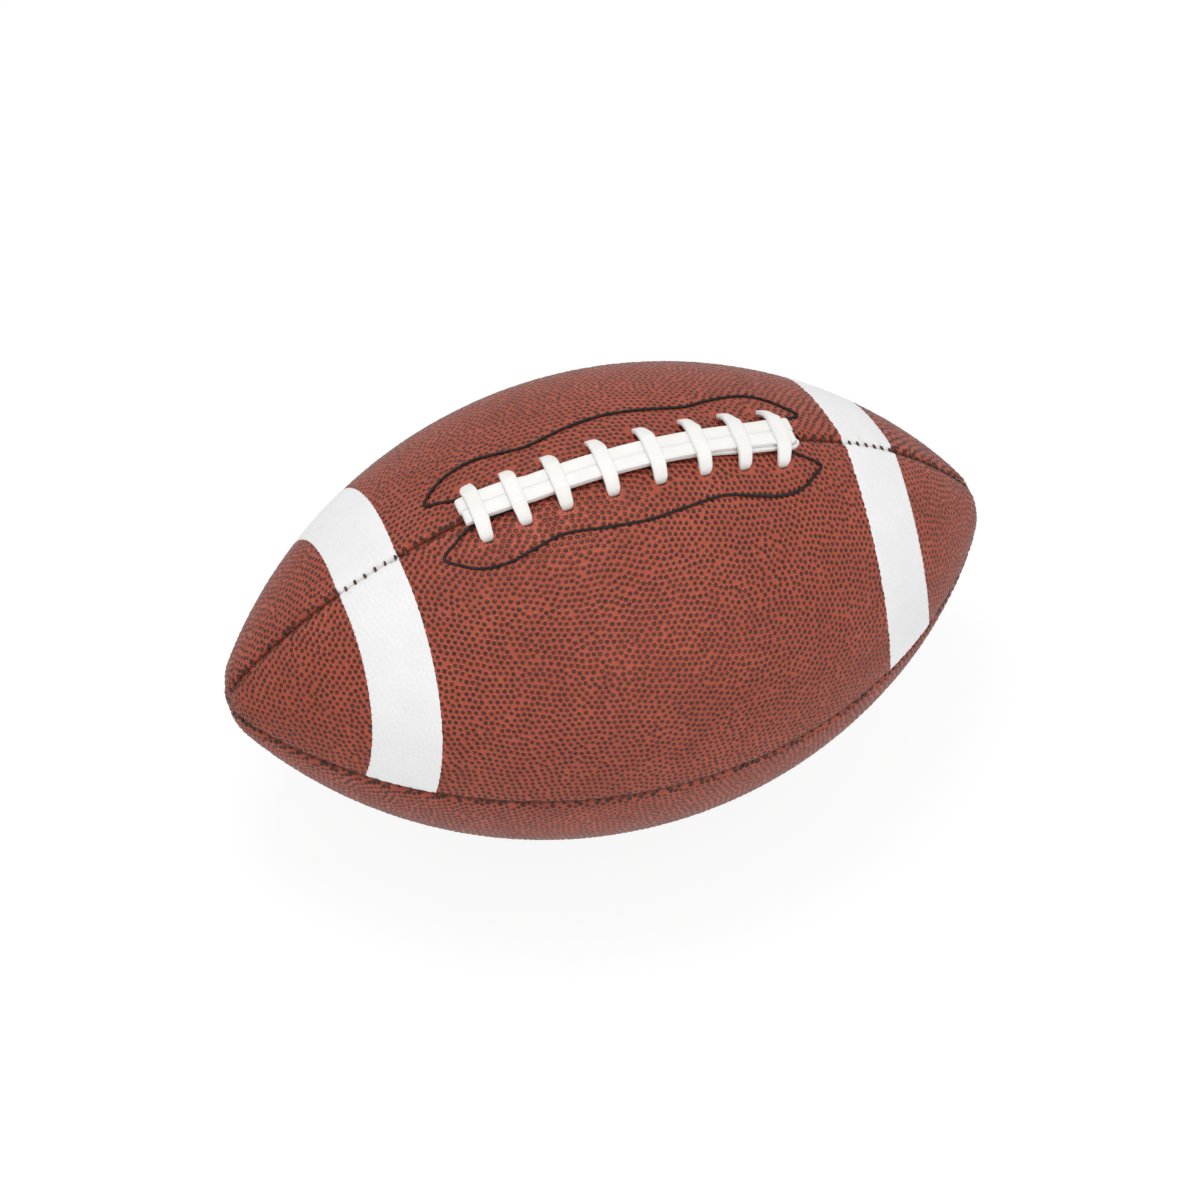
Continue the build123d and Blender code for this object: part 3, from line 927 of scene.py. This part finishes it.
def make_stripe(name, end, surface, material):
    """A white film between two bowed edges, which fills the ground between the pebbles of its panel."""
    sign = 1 if end == "right" else -1
    arc, swing, height, _, _, faces = surface
    along = sign * meridian(arc)[0] - stripe_offset(name, end, swing)
    along, swing, height, top = cut_stripe(along, swing, height, faces)
    arc = arc_of(sign * (along + stripe_offset(name, end, swing)))
    angle = math.radians(panel_angles[name]) + swing
    ground, _, share = panel_base(name, arc, swing)
    outside = ground + stripe_fill * pebble_height * share + stripe_relief * (height - ground) + stripe_lift
    points = np.vstack([place(arc, angle, outside), place(arc, angle, height - stripe_depth)])
    count = len(arc)
    sides = [[end_at, start, start + count, end_at + count] for start, end_at in sorted(rim_edges(top))]
    under = [[vertex + count for vertex in reversed(face)] for face in top]
    faces = top + sides + under
    new_piece("stripe_" + name + "_" + end, "_film", points, faces, material)


# Threads


def sweep(path, wide, sections, closed):
    """A section swept along a path: its points and faces. wide is the section's first direction."""
    tangent = np.gradient(path, axis=0)
    if closed:
        tangent = np.roll(path, -1, axis=0) - np.roll(path, 1, axis=0)
    tangent /= np.linalg.norm(tangent, axis=1, keepdims=True)
    wide = wide - (wide * tangent).sum(1, keepdims=True) * tangent
    wide /= np.linalg.norm(wide, axis=1, keepdims=True)
    high = np.cross(tangent, wide)
    rings, sides = sections.shape[:2]
    points = path[:, None] + wide[:, None] * sections[..., :1] + high[:, None] * sections[..., 1:]
    faces = []
    for ring in range(rings if closed else rings - 1):
        here, beyond = ring * sides, (ring + 1) % rings * sides
        for side in range(sides):
            following = (side + 1) % sides
            faces.append([here + side, here + following, beyond + following, beyond + side])
    if not closed:
        faces.append(list(range(sides))[::-1])
        faces.append(list(range((rings - 1) * sides, rings * sides)))
    return points.reshape(-1, 3), faces


def joined(meshes):
    """Several point and face lists as one."""
    points, faces, count = [], [], 0
    for some_points, some_faces in meshes:
        points.append(some_points)
        faces += [[vertex + count for vertex in face] for face in some_faces]
        count += len(some_points)
    return np.vstack(points), faces


def round_section(radii):
    turn = np.arange(thread_sides) * 2 * math.pi / thread_sides
    return radii[:, None, None] * np.stack([np.cos(turn), np.sin(turn)], axis=1)[None]


def make_seam_thread(name, seam, low, high, seed, material):
    """Stitches that show across a seam's groove, one at each pucker."""
    rng = np.random.default_rng(seed)
    half_across, half_height = np.asarray(half_stitch).T * mm
    across = np.hstack([-half_across[::-1], half_across])
    depth = np.hstack([half_height[::-1], half_height])
    stitches = []
    for index in range(math.ceil(low / stitch_pitch), math.floor(high / stitch_pitch) + 1):
        middle = index * stitch_pitch + rng.normal(0, stitch_place_spread)
        arc = middle + across * (stitch_slant + rng.normal(0, slant_spread))
        angle = math.radians(seam_angles[seam]) + across / radius_at(middle)
        radii = np.full(len(across), stitch_radius * rng.uniform(*stitch_sizes))
        path = place(arc, angle, depth + rng.normal(0, stitch_depth_spread))
        stitches.append(sweep(path, outward(arc, angle), round_section(radii), False))
    points, faces = joined(stitches)
    new_piece("seam_thread_" + name, "_stitches", points, faces, material)


def make_outline_thread(side, material):
    """The black stitched line round a facing: back stitches that dip at their ends."""
    line = outlines[side][:-1]
    arc, across = line.T
    angle = across / radius_at(arc)
    steps = np.linalg.norm(np.roll(line, -1, axis=0) - line, axis=1)
    run = np.cumsum(steps) - steps
    stitches = round(steps.sum() / outline_stitch)
    bulge = np.abs(np.sin(math.pi * run / steps.sum() * stitches)) ** 0.5
    path = place(arc, angle, outline_end_height + outline_bulge * bulge)
    sections = round_section(outline_radius * (outline_end_size + (1 - outline_end_size) * bulge))
    points, faces = sweep(path, outward(arc, angle), sections, True)
    new_piece("facing_thread_" + side, "_stitches", points, faces, material)


# Lace


def lace_section(widths):
    """Rounded flat sections of the lace, by width."""
    power = 2 / lace_squareness
    wide = np.sign(np.cos(lace_turn)) * np.abs(np.cos(lace_turn)) ** power
    high = np.sign(np.sin(lace_turn)) * np.abs(np.sin(lace_turn)) ** power
    wide = widths[:, None] / 2 * wide
    return np.stack([wide, np.broadcast_to(lace_thickness / 2 * high, wide.shape)], axis=2)


def band_edge(name, axial):
    line = np.asarray(band_edges[name])
    return np.interp(axial / mm, line[:, 0], line[:, 1]) * mm


def lace_strand(side):
    """A length of lace along the slit, folded back under itself at both ends."""
    low, high = (end * mm for end in strand_ends[side])
    fold = (strand_high - strand_low) / 2
    level = (strand_high + strand_low) / 2
    straight = np.linspace(low + fold, high - fold, strand_steps)
    turn = np.linspace(0, math.pi, fold_steps)[1:-1]
    right_fold = high - fold + fold * np.sin(turn)
    left_fold = low + fold - fold * np.sin(turn)
    axial = np.hstack([straight, right_fold, straight[::-1], left_fold])
    upper, lower = (np.full(strand_steps, height) for height in (strand_high, strand_low))
    height = np.hstack([upper, level + fold * np.cos(turn), lower, level - fold * np.cos(turn)])
    across = (band_edge(side, axial) + band_edge("meeting", axial)) / 2
    if side == "front":
        under = smooth_step(0, 1, (strand_high - height) / (strand_high - strand_low))
        across = across + under * (lower_shift + lower_shift_change * smooth_step(*lower_shift_span, axial))
    arc = arc_of(axial)
    angle = across / radius_at(arc)
    wide = np.stack([0 * arc, -np.cos(angle), -np.sin(angle)], axis=1)
    widths = np.abs(band_edge(side, axial) - band_edge("meeting", axial)) + strand_overlap
    return sweep(place(arc, angle, height), wide, lace_section(widths), True)


def bar_path(axial, rear, front):
    """Across and height along a cross bar, from its rear end over the band to its front end."""
    middle = (band_edge("front", axial) + band_edge("rear", axial)) / 2 / mm
    sides = []
    for side, end, sign in (("rear", rear, -1), ("front", front, 1)):
        start = middle + sign * bar_flat_reach
        sides.append([(start + (end - start) * share, height) for share, height in bar_lines[side]])
    points = sides[0] + [(middle, bar_top)] + sides[1][::-1]
    return curve_through(points, False, bar_step) * mm


def lace_bar(axial, rear, front, rear_lean, front_lean, rear_twist, front_twist):
    """A cross bar from its rear hole over the strands to its front hole.

    Its rear end rounds off on the side that its twist lowers.
    """
    across, height = bar_path(axial * mm, rear, front).T
    behind = across < 0
    outer = smooth_step(*bar_bend_span, np.abs(across))
    twist = np.radians(np.where(behind, rear_twist, front_twist)) * np.sin(math.pi * outer)
    way = np.where(behind, across / rear, across / front) / mm
    rear_narrowing = rear_taper * np.clip((way - rear_taper_start) / (1 - rear_taper_start), 0, 1) ** 2
    front_tip = np.clip((way - front_end_start) / (1 - front_end_start), 0, 1) ** 2
    front_narrowing = front_taper * smooth_step(*front_taper_span, way) + front_end_taper * front_tip
    widths = lace_width * (1 - np.where(behind, rear_narrowing, front_narrowing))
    rounded = np.where(behind, math.copysign(0.5, rear_twist) * (lace_width - widths), 0)
    rounded = rounded * smooth_step(*bar_leg_span, height)
    arc = arc_of((axial + np.where(behind, rear_lean, front_lean) * outer) * mm - rounded)
    angle = across / radius_at(arc)
    _, _, out_axial, out_radial = meridian(arc)
    along = np.stack([out_radial, out_axial * np.sin(angle), -out_axial * np.cos(angle)], axis=1)
    wide = np.cos(twist)[:, None] * along - np.sin(twist)[:, None] * outward(arc, angle)
    return sweep(place(arc, angle, height), wide, lace_section(widths), False)


def make_lace(material):
    """The two strands and the cross bars, with each point's place across the lace for its ribs."""
    strands = [lace_strand("front"), lace_strand("rear")]
    points, faces = joined(strands + [lace_bar(*bar) for bar in lace_bars])
    piece = new_piece("lace", "_whole", points, faces, material)
    add_values(piece, "across", np.tile(np.cos(lace_turn), len(points) // lace_sides))


# CAD pieces that stay as they are


def finish_node(node, material):
    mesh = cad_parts[node].data
    mesh.materials.clear()
    mesh.materials.append(material)


# White floor, light and camera


def seen_directly(tree):
    """1 for rays from the camera or off shiny or clear surfaces, 0 for softly bounced light."""
    rays = add_node(tree, "LightPath", {}).outputs
    total = rays["Is Camera Ray"]
    for name in ("Is Glossy Ray", "Is Transmission Ray"):
        total = calculate(tree, "MAXIMUM", total, rays[name])
    return total


def make_floor():
    """A white floor that keeps a soft shadow and glows where it is seen directly."""
    mesh = bpy.data.meshes.new("floor")
    signs = ((-1, -1), (1, -1), (1, 1), (-1, 1))
    corners = [(right * floor_reach, back * floor_reach, 0) for right, back in signs]
    mesh.from_pydata(corners, [], [(0, 1, 2, 3)])
    add_object("floor", mesh)
    material, tree = new_material("floor_white", (0.9, 0.9, 0.9), Roughness=0.9)
    mesh.materials.append(material)
    surface = tree.nodes["Principled BSDF"].outputs[0]
    glow = add_node(tree, "Emission", {"Strength": floor_glow_strength}).outputs[0]
    share = map_range(tree, seen_directly(tree), span=(0, 1), results=(0, floor_glow))
    mix = add_node(tree, "MixShader", {0: share, 1: surface, 2: glow}).outputs[0]
    feed(tree, tree.nodes["Material Output"].inputs["Surface"], mix)


def make_world():
    """Even white light, at full white where the world is seen directly."""
    world = bpy.data.worlds.new("studio")
    bpy.context.scene.world = world
    world.use_nodes = True
    tree = world.node_tree
    background = tree.nodes["Background"].inputs
    feed(tree, background["Color"], (1, 1, 1, 1))
    strength = map_range(tree, seen_directly(tree), span=(0, 1), results=(world_level, 1))
    feed(tree, background["Strength"], strength)


def make_lamp(name, size, power, location):
    lamp = bpy.data.lights.new(name, "AREA")
    lamp.size = size
    lamp.energy = power
    holder = add_object(name, lamp)
    holder.location = location
    holder.rotation_euler = (Vector(lamp_aim) - Vector(location)).to_track_quat("-Z", "Y").to_euler()


def make_camera():
    camera = bpy.data.cameras.new("camera")
    camera.sensor_width = sensor_width
    camera.lens = focal_pixels / photo_size * sensor_width
    camera.shift_x = (photo_size / 2 - photo_centre[0]) / photo_size
    camera.shift_y = (photo_centre[1] - photo_size / 2) / photo_size
    holder = add_object("camera", camera)
    holder.matrix_world = (
        Matrix.Translation((0, 0, ball_radius))
        @ Matrix.Rotation(view_azimuth, 4, "Z")
        @ Matrix.Rotation(math.pi / 2 - view_elevation, 4, "X")
        @ Matrix.Rotation(view_roll, 4, "Z")
        @ Matrix.Translation((0, 0, view_distance))
    )
    bpy.context.scene.camera = holder


# The ball

leather = leather_material()
stripe_white = stripe_material()
lace_white = lace_material()
thread_black = thread_material("black_thread", (0.010, 0.009, 0.009), (0.035, 0.03, 0.03))
thread_brown = thread_material("brown_thread", (0.035, 0.014, 0.009), (0.16, 0.07, 0.042))

surfaces = {}
for seed, name in enumerate(panel_angles, first_panel_seed):
    surfaces[name] = make_panel(name, seed, leather)
for name, end in stripe_edges:
    make_stripe(name, end, surfaces[name], stripe_white)

slit_end = arc_of(slit_half_length)
seam_end = half_arc - bare_tip_length
seam_runs = {
    "lace_left": ("top", -seam_end, -slit_end),
    "lace_right": ("top", slit_end, seam_end),
}
for seam in ("front", "bottom", "rear"):
    seam_runs[seam] = (seam, -seam_end, seam_end)
for seed, (name, run) in enumerate(seam_runs.items(), first_seam_seed):
    make_seam_thread(name, *run, seed, thread_brown)
for side in outlines:
    make_outline_thread(side, thread_black)
make_lace(lace_white)

lining_cloth = woven_material("lining_cloth", (0.42, 0.37, 0.28), (0.58, 0.53, 0.43), thread_scale=900)
facing_web = woven_material("facing_web", (0.22, 0.18, 0.13), (0.34, 0.30, 0.23), thread_scale=1300)
guard_split = mottled_material("guard_split_leather", (0.24, 0.14, 0.08), (0.32, 0.2, 0.12), roughness=0.75)
bladder_rubber = mottled_material("bladder_rubber", (0.02, 0.02, 0.021), (0.04, 0.04, 0.042), roughness=0.4)
valve_rubber = mottled_material("valve_rubber", (0.025, 0.025, 0.025), (0.045, 0.045, 0.045), roughness=0.5)
core_rubber = mottled_material("core_rubber", (0.045, 0.045, 0.045), (0.07, 0.07, 0.07), roughness=0.45)
for name in panel_angles:
    finish_node("lining_" + name, lining_cloth)
for side in outlines:
    finish_node("lace_facing_" + side, facing_web)
finish_node("lace_guard", guard_split)
finish_node("bladder", bladder_rubber)
finish_node("valve_housing", valve_rubber)
finish_node("valve_core", core_rubber)

# The studio

bpy.context.scene.view_settings.view_transform = "Standard"
make_floor()
make_world()
for name, lamp in lamps.items():
    make_lamp(name, *lamp)
make_camera()
